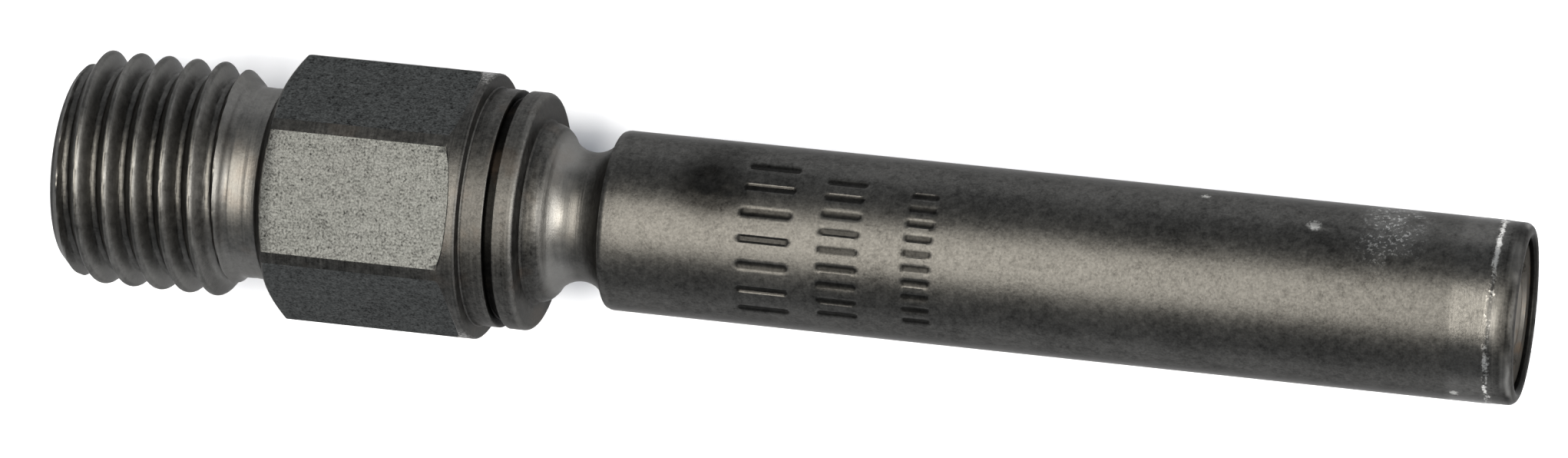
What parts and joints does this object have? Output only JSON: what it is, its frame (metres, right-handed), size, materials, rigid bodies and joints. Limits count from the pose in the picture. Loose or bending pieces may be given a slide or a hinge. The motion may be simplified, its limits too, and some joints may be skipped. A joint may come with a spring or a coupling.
{
  "type": "fuel injector",
  "caption": "Mechanical fuel injector: threaded inlet with filter, hexagon, seal groove and a long barrel with a pressure-opened needle valve crimped in its tip.",
  "frame": {"origin": "centre of the inlet face, on the injector's axis", "axes": "+X along the axis from the inlet to the spray tip, +Z out of one flat of the hexagon"},
  "size_m": [0.0745, 0.0136, 0.0134],
  "materials": {
    "blackened_steel": "dark, satin, worn bright at the edges",
    "ground_steel": "ground",
    "spring_steel": "drawn wire",
    "steel_gauze": "woven gauze",
    "brass": "satin",
    "copper": "soft annealed copper"
  },
  "bodies": {
    "housing": {"injector_body": "blackened_steel", "filter_ring": "brass", "filter_cage": "brass", "filter_mesh": "steel_gauze", "filter_cap": "brass", "sealing_washer": "copper", "nozzle_body": "ground_steel", "guide_bush": "ground_steel", "closing_spring": "spring_steel", "preload_shim": "spring_steel"},
    "needle_set": {"valve_needle": "ground_steel", "spring_plate": "ground_steel", "retainer_half_a": "ground_steel", "retainer_half_b": "ground_steel"}
  },
  "joints": [
    {"name": "needle_lift", "type": "slide", "parent": "housing", "child": "needle_set", "axis": [1, 0, 0], "range_m": [0, 0.00025], "stiffness_N_per_m": 2000, "springref_m": -0.0008, "deforming": ["closing_spring"]}
  ]
}
